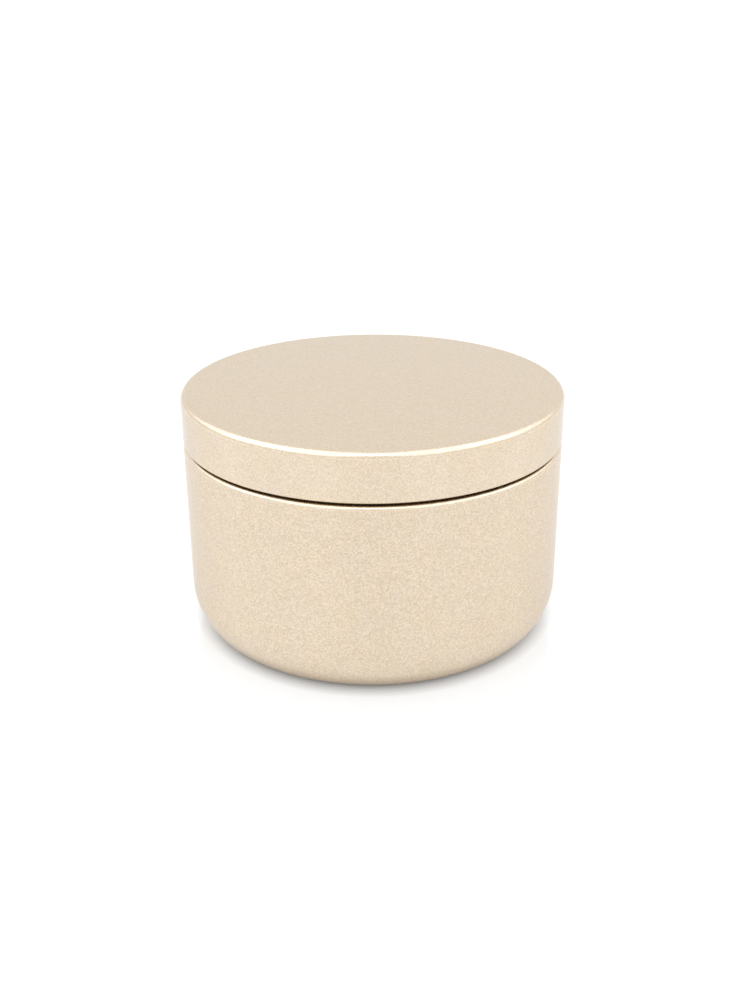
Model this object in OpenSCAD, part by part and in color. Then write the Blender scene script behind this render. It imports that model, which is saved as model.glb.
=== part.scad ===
// Round slip-lid candle tin with its candle: a drawn tinplate body, a drawn lid
// that lies flush with it, wax, and a cored wick in a stamped sustainer.
// Millimetres. The origin is the centre of the face that the tin stands on, and
// +Z is the axis of the tin, upwards.

/* [Tin] */
// Outside diameter of the body and of the lid
tin_d = 78; // [72:1:100]
// Height of the closed tin
tin_h = 50; // [42:0.5:80]
// Thickness of the pressed sheet
sheet_t = 0.25; // [0.2:0.01:0.28]
// Outside radius of the upper, slower part of the bottom corner
corner_slow_r = 12; // [8:0.5:16]
// Outside radius of the lower, tighter part of the bottom corner
corner_tight_r = 4; // [2:0.5:7]
// Diameter of the recessed panel under the base
panel_d = 60; // [40:1:62]
// Depth of that recess
panel_recess = 0.7; // [0.4:0.1:1.2]

/* [Neck and lid] */
// How far the neck steps in from the side of the tin
neck_step = 1.2; // [1.15:0.05:1.6]
// Outside radius of the shoulder under the lid
shoulder_r = 0.9; // [0.6:0.05:0.95]
// Height of the lid
lid_h = 9.8; // [7:0.1:14]
// Outside radius of the lid's top edge
lid_edge_r = 1.3; // [0.5:0.1:2.1]
// Open line between the lid's lower edge and the shoulder
lid_gap = 0.5; // [0.2:0.1:1]
// Outside radius of the rolled lower edge of the lid
lid_curl_r = 0.56; // [0.4:0.01:0.58]
// Outside radius of the rolled rim of the neck
rim_curl_r = 0.55; // [0.4:0.01:0.7]
// Play between the rim of the neck and the inside of the lid's top
rim_play = 0.05; // [0.02:0.01:0.2]

/* [Candle] */
// Height of the wax's surface above the ground
wax_z = 38; // [20:0.5:38.5]
// Length of wick standing out of the wax
wick_above = 6; // [3:0.5:8]
// Diameter of the braided wick
wick_d = 2.2; // [1.6:0.1:3.4]
// Diameter of the strand in the middle of the wick
core_d = 0.8; // [0.5:0.1:1.2]
// Diameter of the sustainer's disc
sustainer_d = 20; // [12:1:33]
// Thickness of the sustainer's sheet
sustainer_t = 0.3; // [0.2:0.05:0.5]
// Height of the sustainer's collar, with its disc
collar_h = 3; // [2:0.5:6]
// Diameter of the adhesive foam disc
sticker_d = 20; // [12:1:33]
// Thickness of the adhesive foam disc
sticker_t = 0.8; // [0.5:0.1:1.6]

/* [Hidden] */
$fn = 180;
tin_r = tin_d / 2;
neck_r = tin_r - neck_step;
foot_r = neck_step - shoulder_r;          // hollow radius where the neck meets the shoulder
lid_bottom_z = tin_h - lid_h;
shoulder_z = lid_bottom_z - lid_gap;
rim_z = tin_h - sheet_t - rim_play;
panel_r = panel_d / 2;
panel_slope = 45;                         // angle of the step round the panel
cut_over = 1;                             // how far a cutter passes the face that it cuts

// Directions in a half section. The two arcs of the bottom corner meet tangentially along
// slant, which has the proportions of a 3-4-5 triangle so that their shared edge is exact.
right = [1, 0];
up = [0, 1];
left = [-1, 0];
down = [0, -1];
slant = [0.8, -0.6];

// Centres of those two arcs
slow_c = [tin_r - corner_slow_r,
          corner_tight_r - (corner_slow_r - corner_tight_r) * slant.y];
tight_c = slow_c + (corner_slow_r - corner_tight_r) * slant;

// Heights of the pieces that stand on the base
sticker_z = panel_recess + sheet_t;
wick_z = sticker_z + sticker_t;
wick_top_z = wax_z + wick_above;

// ---- Sheet metal, as half sections with the radius along X and the height along Y

// A wedge with its point at the centre c, between two directions, longer than radius r
module wedge(c, r, from, to) {
    reach = 2 * r;
    translate(c)
        polygon([[0, 0], reach * from, reach * (from + to), reach * to]);
}

// A filled slice of the circle of radius r round c
module slice(c, r, from, to) {
    intersection() {
        translate(c) circle(r);
        wedge(c, r, from, to);
    }
}

// The sheet rolled round c for a full turn, with its outer face at radius r
module roll(c, r) {
    translate(c)
        difference() {
            circle(r);
            circle(r - sheet_t);
        }
}

// A bend of the sheet round c, with its outer face at radius r
module bend(c, r, from, to) {
    intersection() {
        roll(c, r);
        wedge(c, r, from, to);
    }
}

// A level stretch of sheet with its underside at height z
module level(r0, r1, z) {
    translate([r0, z]) square([r1 - r0, sheet_t]);
}

// An upright stretch of sheet with its outer face at radius r
module upright(r, z0, z1) {
    translate([r - sheet_t, z0]) square([sheet_t, z1 - z0]);
}

// The base from the axis to the corner, at a height of lift above its underside
function base_line(lift) =
    let (shift = lift * tan(panel_slope / 2),
         slope_w = panel_recess / tan(panel_slope))
    [[0, panel_recess + lift],
     [panel_r - slope_w + shift, panel_recess + lift],
     [panel_r + shift, lift],
     [tight_c.x, lift]];

function reversed(list) = [for (i = [len(list) - 1 : -1 : 0]) list[i]];

// ---- Pieces

// Drawn body: recessed base, rounded bottom corner, straight side, shoulder, and a
// neck whose rim is rolled inwards
module tin_body() {
    shoulder_c = [tin_r - shoulder_r, shoulder_z - shoulder_r];
    foot_c = [tin_r - shoulder_r, shoulder_z + foot_r];
    rim_c = [neck_r - rim_curl_r, rim_z - rim_curl_r];
    color([0.87, 0.79, 0.66])
        rotate_extrude() {
            polygon(concat(base_line(0), reversed(base_line(sheet_t))));
            bend(tight_c, corner_tight_r, down, slant);
            bend(slow_c, corner_slow_r, slant, right);
            upright(tin_r, slow_c.y, shoulder_c.y);
            bend(shoulder_c, shoulder_r, right, up);
            bend(foot_c, foot_r + sheet_t, left, down);
            upright(neck_r, foot_c.y, rim_c.y);
            difference() {
                roll(rim_c, rim_curl_r);
                wedge(rim_c, rim_curl_r, down, right);
            }
        }
}

// Drawn lid: flat top, rounded edge, and a skirt whose lower edge is rolled inwards
module lid() {
    edge_c = [tin_r - lid_edge_r, tin_h - lid_edge_r];
    curl_c = [tin_r - lid_curl_r, lid_bottom_z + lid_curl_r];
    color([0.88, 0.81, 0.69])
        rotate_extrude() {
            level(0, edge_c.x, tin_h - sheet_t);
            bend(edge_c, lid_edge_r, right, up);
            upright(tin_r, curl_c.y, edge_c.y);
            difference() {
                roll(curl_c, lid_curl_r);
                wedge(curl_c, lid_curl_r, right, up);
            }
        }
}

// Outlines of the pieces that the wax is poured round
module sticker_outline() {
    translate([0, sticker_z]) square([sticker_d / 2, sticker_t]);
}

module sustainer_outline() {
    translate([0, wick_z]) square([sustainer_d / 2, sustainer_t]);
    translate([0, wick_z]) square([wick_d / 2 + sustainer_t, collar_h]);
}

module wick_outline() {
    translate([0, wick_z]) square([wick_d / 2, wick_top_z - wick_z]);
}

// Wax poured into the body, round the foot of the wick
module wax_fill() {
    inside_r = tin_r - sheet_t;
    color([0.96, 0.93, 0.84])
        rotate_extrude()
            difference() {
                union() {
                    polygon(concat(base_line(sheet_t), [tight_c, slow_c, [0, slow_c.y]]));
                    slice(tight_c, corner_tight_r - sheet_t, down, slant);
                    slice(slow_c, corner_slow_r - sheet_t, slant, right);
                    translate([0, slow_c.y]) square([inside_r, wax_z - slow_c.y]);
                }
                sticker_outline();
                sustainer_outline();
                wick_outline();
            }
}

// Braided cotton sleeve of the wick
module wick_braid() {
    color([0.93, 0.91, 0.86])
        translate([0, 0, wick_z])
            difference() {
                cylinder(d = wick_d, h = wick_top_z - wick_z);
                translate([0, 0, -cut_over])
                    cylinder(d = core_d, h = wick_top_z - wick_z + 2 * cut_over);
            }
}

// Stiff strand in the middle of the wick
module wick_core() {
    color([0.85, 0.80, 0.70])
        translate([0, 0, wick_z]) cylinder(d = core_d, h = wick_top_z - wick_z);
}

// Stamped disc and collar that hold the wick upright
module wick_sustainer() {
    color([0.75, 0.76, 0.77])
        rotate_extrude()
            difference() {
                sustainer_outline();
                wick_outline();
            }
}

// Double-sided foam disc that holds the sustainer to the base
module wick_sticker() {
    color([0.95, 0.95, 0.93])
        translate([0, 0, sticker_z]) cylinder(d = sticker_d, h = sticker_t);
}

tin_body();
lid();
wax_fill();
wick_braid();
wick_core();
wick_sustainer();
wick_sticker();
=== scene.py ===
"""Looks of a round slip-lid candle tin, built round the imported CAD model.

Everything is in metres, in the frame of the CAD model: the tin stands on z = 0 and its
axis is the Z axis. Sizes in the tables below are in millimetres, times MM.
"""

import math

import bpy
import numpy as np
from mathutils import Matrix, Vector, noise


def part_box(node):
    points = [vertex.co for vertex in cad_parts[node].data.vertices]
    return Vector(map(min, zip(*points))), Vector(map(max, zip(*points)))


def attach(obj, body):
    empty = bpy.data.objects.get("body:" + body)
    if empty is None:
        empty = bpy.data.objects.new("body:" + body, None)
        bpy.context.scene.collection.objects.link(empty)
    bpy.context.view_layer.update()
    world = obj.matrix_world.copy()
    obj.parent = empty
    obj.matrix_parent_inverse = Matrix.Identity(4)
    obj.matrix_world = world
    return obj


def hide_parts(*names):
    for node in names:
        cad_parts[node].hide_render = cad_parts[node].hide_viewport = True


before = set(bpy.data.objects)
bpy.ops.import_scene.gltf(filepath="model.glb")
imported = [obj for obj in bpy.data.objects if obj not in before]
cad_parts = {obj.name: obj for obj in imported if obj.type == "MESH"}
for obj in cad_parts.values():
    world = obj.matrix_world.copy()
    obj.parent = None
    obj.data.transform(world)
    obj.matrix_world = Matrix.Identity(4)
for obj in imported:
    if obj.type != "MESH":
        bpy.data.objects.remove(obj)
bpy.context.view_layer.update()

MM = 0.001
TAU = 2 * math.pi

# ---------------------------------------------------------------- sizes, from the frame

lid_low, lid_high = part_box("lid")
body_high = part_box("tin_body")[1]
wax_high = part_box("wax_fill")[1]
braid_low, braid_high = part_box("wick_braid")
core_low, core_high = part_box("wick_core")
sustainer_low, sustainer_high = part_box("wick_sustainer")
sticker_low, sticker_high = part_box("wick_sticker")

TIN_R = lid_high.x
TIN_H = lid_high.z
LID_BOTTOM = lid_low.z
RIM_TOP = body_high.z
WAX_TOP = wax_high.z
WICK_R = braid_high.x
WICK_TOP = braid_high.z
WICK_FOOT = braid_low.z

# Sizes that the boxes don't give, as the CAD model has them
SHEET = 0.25 * MM
NECK_R = TIN_R - 1.2 * MM
SHOULDER_R = 0.9 * MM
FOOT_R = 0.3 * MM
SHOULDER_Z = LID_BOTTOM - 0.5 * MM
CORNER_SLOW_R = 12 * MM
CORNER_TIGHT_R = 4 * MM
CORNER_SLANT = (0.8, -0.6)
PANEL_R = 30 * MM
PANEL_RECESS = 0.7 * MM
PANEL_FILLET = 0.35 * MM
LID_EDGE_R = 1.3 * MM
LID_CURL_R = 0.56 * MM
RIM_CURL_R = 0.55 * MM
SUSTAINER_SHEET = 0.3 * MM

# ---------------------------------------------------------------- camera


def make_camera():
    """A camera in front of the tin and above it, looking down as the photo's camera did."""
    distance, height = 226.5 * MM, 122.95 * MM
    pitch, yaw, roll = math.radians(23.57), math.radians(0.1), math.radians(-0.29)
    focal_over_frame_height = 1.1573
    data = bpy.data.cameras.new("camera")
    data.sensor_fit = "AUTO"
    data.sensor_width = 36.0
    data.lens = focal_over_frame_height * data.sensor_width
    data.clip_start, data.clip_end = 0.01, 200.0
    camera = bpy.data.objects.new("camera", data)
    bpy.context.scene.collection.objects.link(camera)
    forward = Vector((math.sin(yaw) * math.cos(pitch), math.cos(yaw) * math.cos(pitch),
                      -math.sin(pitch)))
    right = forward.cross(Vector((0, 0, 1))).normalized()
    upward = right.cross(forward)
    right_rolled = right * math.cos(roll) + upward * math.sin(roll)
    up_rolled = upward * math.cos(roll) - right * math.sin(roll)
    axes = Matrix((right_rolled, up_rolled, -forward)).transposed()
    camera.matrix_world = Matrix.Translation((0, -distance, height)) @ axes.to_4x4()
    bpy.context.scene.camera = camera


# ---------------------------------------------------------------- mesh helpers

# How far from a bend a flat stretch has its extra point
BEND_GUARD = 0.06 * MM
# Two points nearer than this, or a point this near the axis, count as one
SAME_PLACE = 1e-7


def arc(centre, radius, start, end, steps):
    """Points (r, z) on an arc round centre, from angle start to end, in degrees."""
    angles = np.radians(np.linspace(start, end, steps + 1))
    return [(centre[0] + radius * math.cos(a), centre[1] + radius * math.sin(a)) for a in angles]


def fillet(before, corner, after, radius, steps=6):
    """Points of a rounding of the given radius at a corner of a half section."""
    a = (Vector(before) - Vector(corner)).normalized()
    b = (Vector(after) - Vector(corner)).normalized()
    half = a.angle(b) / 2
    start = Vector(corner) + a * radius / math.tan(half)
    middle = Vector(corner) + (a + b).normalized() * radius / math.sin(half)
    end = Vector(corner) + b * radius / math.tan(half)
    points = []
    for i in range(steps + 1):
        spread = (start - middle).lerp(end - middle, i / steps).normalized() * radius
        points.append(tuple(middle + spread))
    return points


def spaced(start, end, step):
    """Points from start to end, ends included, at most step apart, and one more near each
    end, which keeps the shading of a bend off the flat stretch beside it."""
    length = (Vector(end) - Vector(start)).length
    pieces = max(1, math.ceil(length / step))
    places = [i / pieces for i in range(pieces + 1)]
    if length > 4 * BEND_GUARD:
        places = sorted({*places, BEND_GUARD / length, 1 - BEND_GUARD / length})
    return [tuple(Vector(start).lerp(Vector(end), p)) for p in places]


def joined(*runs):
    """One outline out of several, without the points that two runs share."""
    points = []
    for run in runs:
        for p in run:
            if not points or (Vector(p) - Vector(points[-1])).length > SAME_PLACE:
                points.append(tuple(p))
    return points


def link_mesh(name, vertices, faces, material_ids, materials, smooth=True):
    """A mesh object made from arrays, with one material index for each face."""
    mesh = bpy.data.meshes.new(name)
    mesh.from_pydata(vertices, [], faces)
    for material in materials:
        mesh.materials.append(material)
    mesh.polygons.foreach_set("material_index", material_ids)
    mesh.polygons.foreach_set("use_smooth", [smooth] * len(faces))
    mesh.update()
    obj = bpy.data.objects.new(name, mesh)
    bpy.context.scene.collection.objects.link(obj)
    return obj


def lathe(name, outline, materials, material_of, segments=360, closed=False, shape=None):
    """Turns an outline of (r, z) points round the Z axis.

    material_of gives a material index for the stretch that starts at an outline point.
    closed joins the last point to the first. shape may move each point: it takes
    (r, angle, z) and returns a new (r, z)."""
    vertices, rings = [], []
    for r, z in outline:
        if r < SAME_PLACE:
            rings.append([len(vertices)])
            vertices.append((0.0, 0.0, shape(0.0, 0.0, z)[1] if shape else z))
            continue
        ring = []
        for k in range(segments):
            angle = TAU * k / segments
            rr, zz = shape(r, angle, z) if shape else (r, z)
            ring.append(len(vertices))
            vertices.append((rr * math.cos(angle), rr * math.sin(angle), zz))
        rings.append(ring)
    faces, ids = [], []
    pairs = list(zip(range(len(rings)), range(1, len(rings))))
    if closed:
        pairs.append((len(rings) - 1, 0))
    for i, j in pairs:
        low, high = rings[i], rings[j]
        for k in range(segments):
            n = (k + 1) % segments
            if len(low) == 1 and len(high) == 1:
                continue
            if len(low) == 1:
                faces.append((low[0], high[n], high[k]))
            elif len(high) == 1:
                faces.append((low[k], low[n], high[0]))
            else:
                faces.append((low[k], low[n], high[n], high[k]))
            ids.append(material_of(i))
    return link_mesh(name, vertices, faces, ids, materials)


def tube(path, radius, sides):
    """Vertices and faces of a tube with closed ends along a path of Vectors."""
    count = len(path)
    tangents = [(path[min(i + 1, count - 1)] - path[max(i - 1, 0)]).normalized()
                for i in range(count)]
    normal = tangents[0].orthogonal().normalized()
    vertices, faces = [], []
    for i, point in enumerate(path):
        normal = (normal - tangents[i] * normal.dot(tangents[i])).normalized()
        across = tangents[i].cross(normal)
        for k in range(sides):
            a = TAU * k / sides
            out = normal * math.cos(a) + across * math.sin(a)
            vertices.append(tuple(point + out * radius))
    for i in range(count - 1):
        for k in range(sides):
            n = (k + 1) % sides
            faces.append((i * sides + k, i * sides + n, (i + 1) * sides + n, (i + 1) * sides + k))
    faces.append(tuple(reversed(range(sides))))
    faces.append(tuple((count - 1) * sides + k for k in range(sides)))
    return vertices, faces


def strands(name, paths, radius, sides, material):
    """One mesh object out of a tube along each path."""
    vertices, faces = [], []
    for path in paths:
        made, quads = tube(path, radius, sides)
        faces += [tuple(len(vertices) + k for k in face) for face in quads]
        vertices += made
    return link_mesh(name, vertices, faces, [0] * len(faces), [material])


# ---------------------------------------------------------------- materials

# Places of the colour sockets of a Mix node, which share their names with other sockets
MIX_COLOURS = (6, 7)
MIX_RESULT = 2


class Nodes:
    """A material's node tree, with short ways to add nodes to it."""

    def __init__(self, name, **surface):
        self.material = bpy.data.materials.new(name)
        self.material.use_nodes = True
        self.tree = self.material.node_tree
        self.surface = self.tree.nodes["Principled BSDF"]
        for socket, value in surface.items():
            self.surface.inputs[socket.replace("_", " ")].default_value = value
        self.coords = self.add("ShaderNodeTexCoord").outputs["Object"]

    def add(self, kind, **settings):
        """A new node of this kind, with its settings."""
        made = self.tree.nodes.new(kind)
        for key, value in settings.items():
            setattr(made, key, value)
        return made

    def link(self, source, target):
        self.tree.links.new(source, target)

    def scaled(self, x, y, z):
        """The object's coordinates, each multiplied by a number."""
        node = self.add("ShaderNodeVectorMath", operation="MULTIPLY")
        self.link(self.coords, node.inputs[0])
        node.inputs[1].default_value = (x, y, z)
        return node.outputs[0]

    def noise(self, size, detail=2.0, roughness=0.5, vector=None):
        """Smooth noise from 0 to 1 whose lumps are about size metres across."""
        node = self.add("ShaderNodeTexNoise")
        node.inputs["Scale"].default_value = 1 / size
        node.inputs["Detail"].default_value = detail
        node.inputs["Roughness"].default_value = roughness
        self.link(vector or self.coords, node.inputs["Vector"])
        return node.outputs["Fac"]

    def cells(self, size, output="Color"):
        """Voronoi cells about size metres across: a random colour each, or the distance
        from each cell's middle."""
        node = self.add("ShaderNodeTexVoronoi")
        node.inputs["Scale"].default_value = 1 / size
        self.link(self.coords, node.inputs["Vector"])
        return node.outputs[output]

    def ranged(self, value, low, high, new_low, new_high):
        """value, which runs from low to high, made to run from new_low to new_high."""
        node = self.add("ShaderNodeMapRange")
        limits = {"From Min": low, "From Max": high, "To Min": new_low, "To Max": new_high}
        for key, number in limits.items():
            node.inputs[key].default_value = number
        self.link(value, node.inputs["Value"])
        return node.outputs["Result"]

    def math(self, operation, a, b):
        """A Math node's result for two values, each a number or a socket."""
        node = self.add("ShaderNodeMath", operation=operation)
        for socket, value in zip(node.inputs, (a, b)):
            if isinstance(value, (int, float)):
                socket.default_value = value
            else:
                self.link(value, socket)
        return node.outputs[0]

    def mixed(self, factor, a, b):
        """Colour a where factor is 0 and b where it is 1."""
        node = self.add("ShaderNodeMix", data_type="RGBA")
        self.link(factor, node.inputs["Factor"])
        for index, value in zip(MIX_COLOURS, (a, b)):
            if isinstance(value, tuple):
                node.inputs[index].default_value = (*value, 1.0)
            else:
                self.link(value, node.inputs[index])
        return node.outputs[MIX_RESULT]

    def bump(self, height, depth, normal=None):
        """A bump whose height of 0 to 1 is depth metres, on top of another if one is given."""
        node = self.add("ShaderNodeBump")
        node.inputs["Strength"].default_value = 1.0
        node.inputs["Distance"].default_value = depth
        self.link(height, node.inputs["Height"])
        if normal is not None:
            self.link(normal, node.inputs["Normal"])
        return node.outputs["Normal"]

    def set(self, socket, source):
        """Links a source to a socket of the surface."""
        self.link(source, self.surface.inputs[socket])


def lacquer(name, colour, roughness, grain):
    """Champagne metallic lacquer: fine flake with sparse darker specks, orange peel and a
    clear coat. grain scales how much the flake and the specks show."""
    m = Nodes(name, Metallic=1.0, Specular_Tint=EDGE_TINT, Coat_Weight=0.5, Coat_Roughness=0.12)
    flake = m.add("ShaderNodeSeparateColor")
    m.link(m.cells(FLAKE_SIZE), flake.inputs[0])
    fine = m.noise(FINE_SIZE, detail=1.0)
    shade = m.math("ADD", m.math("MULTIPLY", flake.outputs[0], 0.6), m.math("MULTIPLY", fine, 0.4))
    warmth = m.ranged(m.noise(5 * MM, detail=3.0), 0.3, 0.7, 0, 1)
    tones = []
    for tone in (FLAKE_DARK, FLAKE_LIGHT):
        parts = list(zip(colour, WARMER, tone))
        warm = tuple(c * w * (1 + t * grain) for c, w, t in parts)
        cool = tuple(c / w * (1 + t * grain) for c, w, t in parts)
        tones.append(m.mixed(warmth, warm, cool))
    chance = m.add("ShaderNodeSeparateColor")
    m.link(m.cells(SPECK_SIZE), chance.inputs[0])
    inside = m.ranged(m.cells(SPECK_SIZE, "Distance"), 0.16, 0.30, 1, 0)
    chosen = m.ranged(chance.outputs[0], 0.70, 0.95, 0, 0.55 * grain)
    speck = m.math("MULTIPLY", inside, chosen)
    speck_colour = tuple(c * SPECK_DARK for c in colour)
    m.set("Base Color", m.mixed(speck, m.mixed(shade, *tones), speck_colour))
    m.set("Roughness", m.ranged(flake.outputs[1], 0, 1, roughness - 0.04, roughness + 0.04))
    peel = m.bump(m.noise(0.9 * MM, detail=2.0), 5e-6 * grain)
    m.set("Normal", m.bump(flake.outputs[2], 2e-6 * grain, peel))
    return m.material


def tinplate(name):
    """Bright bare tinplate, slightly clouded."""
    m = Nodes(name, Metallic=1.0)
    cloud = m.noise(5 * MM, detail=4.0)
    m.set("Base Color", m.mixed(cloud, (0.70, 0.70, 0.69), (0.80, 0.80, 0.79)))
    m.set("Roughness", m.ranged(m.noise(1.5 * MM, detail=3.0), 0, 1, 0.34, 0.46))
    m.set("Normal", m.bump(m.noise(0.8 * MM, detail=2.0), 1e-6))
    return m.material


def wax(name):
    """Cream soy wax: light goes into it, with faint frosting and a waxy sheen."""
    m = Nodes(name, Subsurface_Weight=0.6, Subsurface_Scale=0.004, IOR=1.44)
    m.surface.inputs["Subsurface Radius"].default_value = (1.0, 0.7, 0.4)
    frost = m.ranged(m.noise(3.5 * MM, detail=6.0, roughness=0.65), 0.45, 0.75, 0, 1)
    m.set("Base Color", m.mixed(frost, (0.87, 0.76, 0.57), (0.91, 0.83, 0.68)))
    m.set("Roughness", m.ranged(frost, 0, 1, 0.34, 0.55))
    m.set("Normal", m.bump(m.noise(1.2 * MM, detail=4.0), 12e-6))
    return m.material


def cotton(name, light, dark, strand):
    """Waxed cotton yarn: fine fibres across each strand."""
    m = Nodes(name, Roughness=0.75, Sheen_Weight=0.3, Sheen_Roughness=0.5)
    fibres = m.noise(strand, detail=4.0, roughness=0.7, vector=m.scaled(1, 1, 0.25))
    m.set("Base Color", m.mixed(m.ranged(fibres, 0.3, 0.7, 0, 1), dark, light))
    m.set("Normal", m.bump(fibres, 20e-6))
    return m.material


def foam(name):
    """White closed-cell foam."""
    m = Nodes(name, Roughness=0.85)
    pores = m.cells(0.35 * MM, "Distance")
    depth = m.ranged(pores, 0, 0.6, 0, 1)
    m.set("Base Color", m.mixed(depth, (0.90, 0.90, 0.88), (0.78, 0.78, 0.76)))
    m.set("Normal", m.bump(pores, 60e-6))
    return m.material


CHAMPAGNE = (0.71, 0.592, 0.455)
# Dark brown for the crease at the neck's foot, seen through the gap under the lid: painted shade
PAINTED_CREASE_SHADE = (0.11, 0.07, 0.035)
FLAKE_SIZE, FINE_SIZE, SPECK_SIZE = 0.20 * MM, 0.18 * MM, 0.42 * MM
FLAKE_DARK = (-0.23, -0.24, -0.31)        # how much darker the darkest flake is
FLAKE_LIGHT = (0.24, 0.24, 0.27)          # how much lighter the lightest flake is
SPECK_DARK = 0.55
WARMER = (1.004, 1.0, 0.975)              # how the lacquer's colour drifts either way
EDGE_TINT = (0.80, 0.78, 0.74, 1.0)       # what the metal reflects at a glancing angle

lid_lacquer = lacquer("champagne_lacquer_lid", CHAMPAGNE, roughness=0.25, grain=0.8)
body_lacquer = lacquer("champagne_lacquer_body", CHAMPAGNE, roughness=0.43, grain=1.0)
# A dark copy of the lacquer for that crease: painted shade
crease_shade_lacquer = lacquer("champagne_lacquer_painted_crease_shade", PAINTED_CREASE_SHADE, roughness=0.6, grain=1.0)
inside_tinplate = tinplate("bright_tinplate")
cream_wax = wax("cream_wax")
cotton_white = cotton("cotton_braid", (0.93, 0.90, 0.82), (0.80, 0.75, 0.64), 0.12 * MM)
paper_twist = cotton("paper_core", (0.80, 0.72, 0.56), (0.62, 0.53, 0.38), 0.10 * MM)
white_foam = foam("white_foam")

# ---------------------------------------------------------------- sheet metal


def base_outline(lift):
    """The base from the axis to the corner arc, at a height of lift above its underside."""
    slope = math.tan(math.radians(45 / 2)) * lift
    inner = (PANEL_R - PANEL_RECESS + slope, PANEL_RECESS + lift)
    outer = (PANEL_R + slope, lift)
    start, end = (0.0, PANEL_RECESS + lift), (ring_end, lift)
    return joined(
        spaced(start, (inner[0] - PANEL_FILLET, inner[1]), 6 * MM),
        fillet(start, inner, outer, PANEL_FILLET),
        fillet(inner, outer, end, PANEL_FILLET),
        spaced((outer[0] + PANEL_FILLET, outer[1]), end, 3 * MM),
    )


# Centres of the two arcs of the bottom corner, which meet tangentially along CORNER_SLANT
centre_gap = CORNER_SLOW_R - CORNER_TIGHT_R
slow_c = (TIN_R - CORNER_SLOW_R, CORNER_TIGHT_R - centre_gap * CORNER_SLANT[1])
tight_c = tuple(s + centre_gap * d for s, d in zip(slow_c, CORNER_SLANT))
slant_angle = math.degrees(math.atan2(CORNER_SLANT[1], CORNER_SLANT[0]))
ring_end = tight_c[0]


def tin_body():
    """Drawn body: outside from the axis to the rolled rim, and back down the inside.

    The shoulder has the lid's glossier lacquer, and the crease above it is painted dark, as
    painted shade."""
    shoulder_c = (TIN_R - SHOULDER_R, SHOULDER_Z - SHOULDER_R)
    foot_c = (TIN_R - SHOULDER_R, SHOULDER_Z + FOOT_R)
    rim_c = (NECK_R - RIM_CURL_R, RIM_TOP - RIM_CURL_R)
    outside = joined(
        base_outline(0.0),
        arc(tight_c, CORNER_TIGHT_R, -90, slant_angle, 16),
        arc(slow_c, CORNER_SLOW_R, slant_angle, 0, 16),
        spaced((TIN_R, slow_c[1]), (TIN_R, shoulder_c[1]), 4 * MM),
        arc(shoulder_c, SHOULDER_R, 0, 90, 18),
        arc(foot_c, FOOT_R, 270, 180, 8),
        spaced((NECK_R, foot_c[1]), (NECK_R, rim_c[1]), 2 * MM),
        arc(rim_c, RIM_CURL_R, 0, 270, 36),
    )
    inside = joined(
        arc(rim_c, RIM_CURL_R - SHEET, 270, 0, 30),
        spaced((NECK_R - SHEET, rim_c[1]), (NECK_R - SHEET, foot_c[1]), 2 * MM),
        arc(foot_c, FOOT_R + SHEET, 180, 270, 8),
        arc(shoulder_c, SHOULDER_R - SHEET, 90, 0, 10),
        spaced((TIN_R - SHEET, shoulder_c[1]), (TIN_R - SHEET, slow_c[1]), 4 * MM),
        arc(slow_c, CORNER_SLOW_R - SHEET, 0, slant_angle, 16),
        arc(tight_c, CORNER_TIGHT_R - SHEET, slant_angle, -90, 16),
        list(reversed(base_outline(SHEET))),
    )
    outline = joined(outside, inside)
    painted = len(outside) - 1
    materials = [body_lacquer, inside_tinplate, crease_shade_lacquer, lid_lacquer]
    satin, bare, dark, gloss = range(len(materials))
    crease_r, crease_low = foot_c[0] + 0.25 * MM, SHOULDER_Z - 0.1 * MM

    def material_of(i):
        if i >= painted:
            return bare
        r, z = outline[i]
        # The crease at the neck's foot gets the dark lacquer: painted shade in the gap under the
        # lid
        if r <= crease_r and crease_low < z < foot_c[1]:
            return dark
        return gloss if r > crease_r and shoulder_c[1] < z <= SHOULDER_Z else satin

    return lathe("tin_body_shell", outline, materials, material_of)


def tin_lid():
    """Drawn lid: outside from the axis to the rolled lower edge, and back up the inside."""
    edge_c = (TIN_R - LID_EDGE_R, TIN_H - LID_EDGE_R)
    curl_c = (TIN_R - LID_CURL_R, LID_BOTTOM + LID_CURL_R)
    inner_z = TIN_H - SHEET
    outside = joined(
        spaced((0.0, TIN_H), (edge_c[0], TIN_H), 5 * MM),
        arc(edge_c, LID_EDGE_R, 90, 0, 18),
        spaced((TIN_R, edge_c[1]), (TIN_R, curl_c[1]), 2 * MM),
        arc(curl_c, LID_CURL_R, 0, -270, 36),
    )
    inside = joined(
        arc(curl_c, LID_CURL_R - SHEET, -270, 0, 30),
        spaced((TIN_R - SHEET, curl_c[1]), (TIN_R - SHEET, edge_c[1]), 2 * MM),
        arc(edge_c, LID_EDGE_R - SHEET, 0, 90, 12),
        spaced((edge_c[0], inner_z), (0.0, inner_z), 5 * MM),
    )
    outline = list(reversed(joined(outside, inside)))
    unpainted = len(inside) - 1
    return lathe("lid_shell", outline, [lid_lacquer, inside_tinplate],
                 lambda i: 1 if i < unpainted else 0)


# ---------------------------------------------------------------- candle


def wax_height(r, angle, z):
    """The wax's surface: it climbs a little at the wall and at the wick, and ripples."""
    if z < WAX_TOP - 1e-6:
        return r, z
    point = Vector((r * math.cos(angle), r * math.sin(angle), 0))
    wall_gap, wall_reach, wall_climb = TIN_R - SHEET - r, 0.7 * MM, 0.30 * MM
    wick_gap, wick_reach, wick_climb = r - WICK_R, 0.8 * MM, 0.22 * MM
    sink = wall_climb * (1 - math.exp(-max(wall_gap, 0) / wall_reach))
    climb = wick_climb * math.exp(-max(wick_gap, 0) / wick_reach)
    ripple = 0.05 * MM * noise.noise(point / (9 * MM)) + 0.02 * MM * noise.noise(point / (3 * MM))
    return r, z - sink + climb + ripple * min(1.0, wall_gap / (2 * MM))


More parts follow.
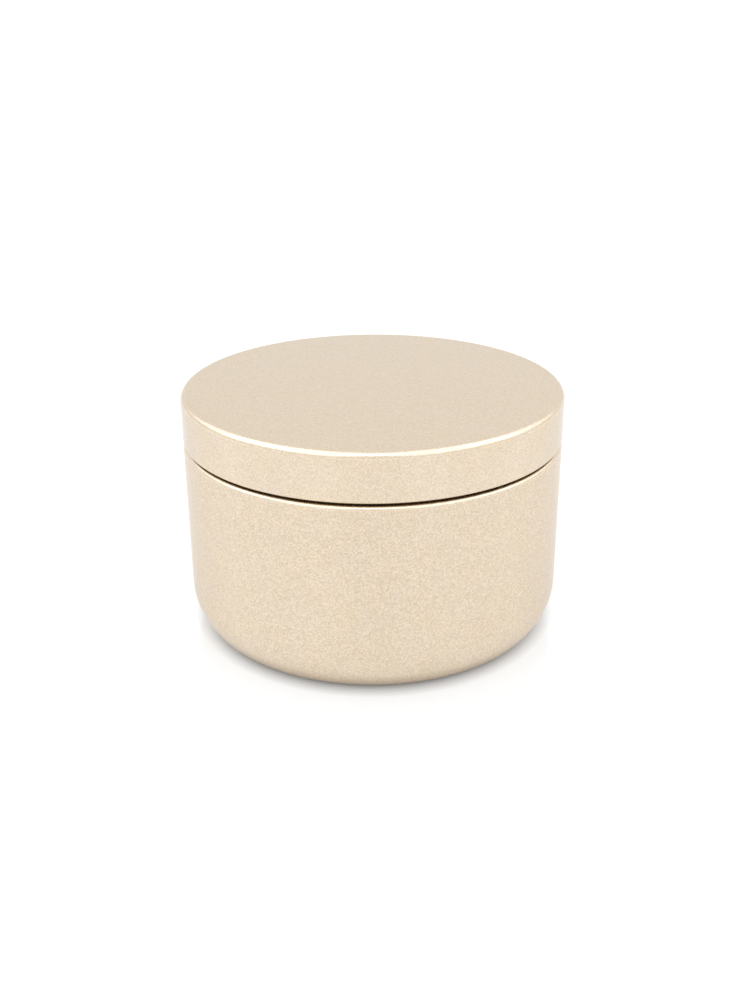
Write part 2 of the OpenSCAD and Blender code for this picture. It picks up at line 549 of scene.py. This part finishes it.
def wax_fill():
    """Poured wax, with pockets for the foam disc, the sustainer and the wick."""
    wall_r = TIN_R - SHEET
    disc_r, disc_top = sustainer_high.x, sustainer_low.z + SUSTAINER_SHEET
    collar_r = WICK_R + SUSTAINER_SHEET
    wall_edge, wick_edge = wall_r - 3 * MM, WICK_R + 4 * MM    # the surface is finer beyond these
    outline = joined(
        [p for p in base_outline(SHEET) if p[0] > sticker_high.x],
        arc(tight_c, CORNER_TIGHT_R - SHEET, -90, slant_angle, 12),
        arc(slow_c, CORNER_SLOW_R - SHEET, slant_angle, 0, 12),
        spaced((wall_r, slow_c[1]), (wall_r, WAX_TOP), 4 * MM),
        spaced((wall_r, WAX_TOP), (wall_edge, WAX_TOP), 0.15 * MM),
        spaced((wall_edge, WAX_TOP), (wick_edge, WAX_TOP), 0.9 * MM),
        spaced((wick_edge, WAX_TOP), (WICK_R, WAX_TOP), 0.2 * MM),
        [(WICK_R, WAX_TOP - 0.5 * MM), (WICK_R, sustainer_high.z)],
        [(collar_r, sustainer_high.z), (collar_r, disc_top), (disc_r, disc_top)],
        [(disc_r, sticker_low.z)],
    )
    return lathe("wax_fill_poured", outline, [cream_wax], lambda i: 0, segments=240,
                 closed=True, shape=wax_height)


def wick_braid():
    """A round braid: yarns wind both ways round the core and pass over and under."""
    yarns_each_way, pitch = 6, 5.2 * MM
    yarn_r, weave = 0.21 * MM, 0.10 * MM
    middle_r = WICK_R - yarn_r - weave
    length = WICK_TOP - WICK_FOOT
    steps_per_turn = 72
    fray = 0.55 * MM                      # how far apart the cut ends of the yarns stand
    steps = int(length / pitch * steps_per_turn)
    paths = []
    for way in (1, -1):
        for yarn in range(yarns_each_way):
            path = []
            cut_short = (3 * yarn + 2 * way + 2) % 7 / 7 * fray
            first_turn = TAU * yarn / yarns_each_way
            for i in range(steps - int(cut_short / length * steps) + 1):
                along = i / steps
                turn = way * TAU * along * length / pitch + first_turn
                lift = weave * way * math.cos(yarns_each_way * abs(turn - first_turn))
                radius = middle_r + lift
                path.append(Vector((radius * math.cos(turn), radius * math.sin(turn),
                                    WICK_FOOT + along * length)))
            paths.append(path)
    return strands("wick_braid_yarns", paths, yarn_r, 8, cotton_white)


def wick_core():
    """Three paper strands twisted together."""
    count, pitch, steps_per_turn = 3, 2.4 * MM, 24
    core_r = core_high.x
    strand_r = core_r * 0.52
    middle_r = core_r - strand_r
    length = core_high.z - core_low.z
    steps = int(length / pitch * steps_per_turn)
    paths = []
    for strand in range(count):
        path = []
        for i in range(steps + 1):
            along = i / steps
            turn = TAU * (along * length / pitch + strand / count)
            path.append(Vector((middle_r * math.cos(turn), middle_r * math.sin(turn),
                                core_low.z + along * length)))
        paths.append(path)
    return strands("wick_core_twist", paths, strand_r, 10, paper_twist)


def crimped(r, angle, z):
    """The outside of the collar, pinched towards the wick at opposite places."""
    if r < WICK_R + 0.15 * MM or r > WICK_R + 0.35 * MM:
        return r, z
    middle = (sustainer_low.z + sustainer_high.z) / 2 + 0.4 * MM
    depth, half_height = 0.16 * MM, 0.55 * MM
    pinch = max(0.0, math.cos(2 * angle)) ** 6 * math.exp(-((z - middle) / half_height) ** 2)
    return r - depth * pinch, z


def wick_sustainer():
    """Stamped disc with a collar crimped on the wick."""
    bottom, top = sustainer_low.z, sustainer_high.z
    outer_r, bore_r = sustainer_high.x, WICK_R
    disc_top, collar_r = bottom + SUSTAINER_SHEET, bore_r + SUSTAINER_SHEET
    edge_in, edge_r = 0.08 * MM, SUSTAINER_SHEET / 2
    root_r, chamfer = 0.4 * MM, 0.1 * MM
    outline = joined(
        [(bore_r, bottom), (outer_r - edge_in, bottom)],
        arc((outer_r - edge_in, bottom + edge_r), edge_r, -90, 90, 8),
        [(outer_r - 2 * MM, disc_top), (collar_r + root_r, disc_top)],
        arc((collar_r + root_r, disc_top + root_r), root_r, 270, 180, 6),
        spaced((collar_r, disc_top + root_r), (collar_r, top - chamfer), 0.3 * MM),
        [(collar_r - chamfer, top), (bore_r, top)],
        spaced((bore_r, top), (bore_r, bottom), 0.4 * MM),
    )
    return lathe("wick_sustainer_stamped", outline, [inside_tinplate], lambda i: 0, segments=192,
                 closed=True, shape=crimped)


def wick_sticker():
    """Foam disc with softly rounded edges."""
    low, high, r = sticker_low.z, sticker_high.z, sticker_high.x
    round_r = (high - low) / 2
    outline = joined(
        [(0.0, low)],
        spaced((1 * MM, low), (r - round_r, low), 3 * MM),
        arc((r - round_r, low + round_r), round_r, -90, 90, 10),
        spaced((r - round_r, high), (1 * MM, high), 3 * MM),
        [(0.0, high)],
    )
    return lathe("wick_sticker_foam", outline, [white_foam], lambda i: 0, segments=120)


# ---------------------------------------------------------------- studio

FLOOR_RADIUS = 60.0
FLOOR_WHITE = (0.35, 0.35, 0.35)
# The floor glows a little, the same all round, so that it stays pale. The glow fades out
# under the tin, from its side to the edge of the ring that it stands on: a painted contact shadow
FLOOR_GLOW = (0.5, 0.5, 0.5)
WORLD_STRENGTH = 1.1
SOFTBOX_DISTANCE = 1.5
DAYLIGHT = (0.9, 1.0, 1.15)

# Softboxes: name, azimuth (0 is the camera's side, 90 the right), elevation, width and
# height as the tin sees them, all in degrees, then radiance
SOFTBOXES = (
    ("left_side", -110, 40, 45, 40, 0.6),
    ("right_side", 110, 40, 45, 40, 0.5),
    ("left_high", -60, 55, 70, 60, 0.9),
    ("right_high", 60, 55, 70, 60, 0.7),
)


def make_floor():
    """A wide pale floor with a satin face, which glows a little, except under the tin, where the
    missing glow is a painted contact shadow.
    """
    m = Nodes("floor_white", Base_Color=(*FLOOR_WHITE, 1), Roughness=0.18, IOR=1.6,
              Specular_IOR_Level=1.0, Emission_Strength=1.0)
    radius = m.add("ShaderNodeVectorMath", operation="LENGTH")
    m.link(m.coords, radius.inputs[0])
    # The glow is cut under the tin, which paints a contact shadow round its foot
    share = m.ranged(radius.outputs["Value"], ring_end, TIN_R, 0, 1)
    m.set("Emission Color", m.mixed(share, (0.0, 0.0, 0.0), FLOOR_GLOW))
    segments = 64
    rim = [TAU * k / segments for k in range(segments)]
    vertices = [(FLOOR_RADIUS * math.cos(a), FLOOR_RADIUS * math.sin(a), 0) for a in rim]
    floor = link_mesh("floor", vertices, [tuple(range(segments))], [0], [m.material], smooth=False)


def softbox(name, azimuth, elevation, width, height, radiance):
    """A rectangle of light that faces the tin and isn't seen by the camera."""
    data = bpy.data.lights.new(name, "AREA")
    data.shape = "RECTANGLE"
    data.size, data.size_y = (2 * SOFTBOX_DISTANCE * math.tan(math.radians(seen / 2))
                              for seen in (width, height))
    data.energy = radiance * data.size * data.size_y * math.pi
    data.color = DAYLIGHT
    light = bpy.data.objects.new(name, data)
    light.visible_camera = False
    bpy.context.scene.collection.objects.link(light)
    a, e = math.radians(azimuth), math.radians(elevation)
    away = Vector((math.sin(a) * math.cos(e), -math.cos(a) * math.cos(e), math.sin(e)))
    light.location = Vector((0, 0, TIN_H / 2)) + away * SOFTBOX_DISTANCE
    light.rotation_mode = "QUATERNION"
    light.rotation_quaternion = away.to_track_quat("Z", "Y")


def make_studio():
    """An evenly lit world, the softboxes and the floor."""
    world = bpy.data.worlds.new("studio")
    world.use_nodes = True
    background = world.node_tree.nodes["Background"]
    background.inputs["Color"].default_value = (1, 1, 1, 1)
    background.inputs["Strength"].default_value = WORLD_STRENGTH
    bpy.context.scene.world = world
    for settings in SOFTBOXES:
        softbox(*settings)
    make_floor()
    bpy.context.scene.view_settings.view_transform = "Standard"


# ---------------------------------------------------------------- assembly

# The pieces: maker, body, CAD node that it replaces, and material slot
PIECES = (
    (tin_body, "tin", "tin_body", "champagne_lacquer"),
    (tin_lid, "lid", "lid", "champagne_lacquer"),
    (wax_fill, "tin", "wax_fill", "cream_wax"),
    (wick_braid, "tin", "wick_braid", "cotton_braid"),
    (wick_core, "tin", "wick_core", "paper_core"),
    (wick_sustainer, "tin", "wick_sustainer", "bright_steel"),
    (wick_sticker, "tin", "wick_sticker", "white_foam"),
)

make_camera()
make_studio()
for make, body, node, slot in PIECES:
    piece = make()
    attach(piece, body)
    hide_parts(node)
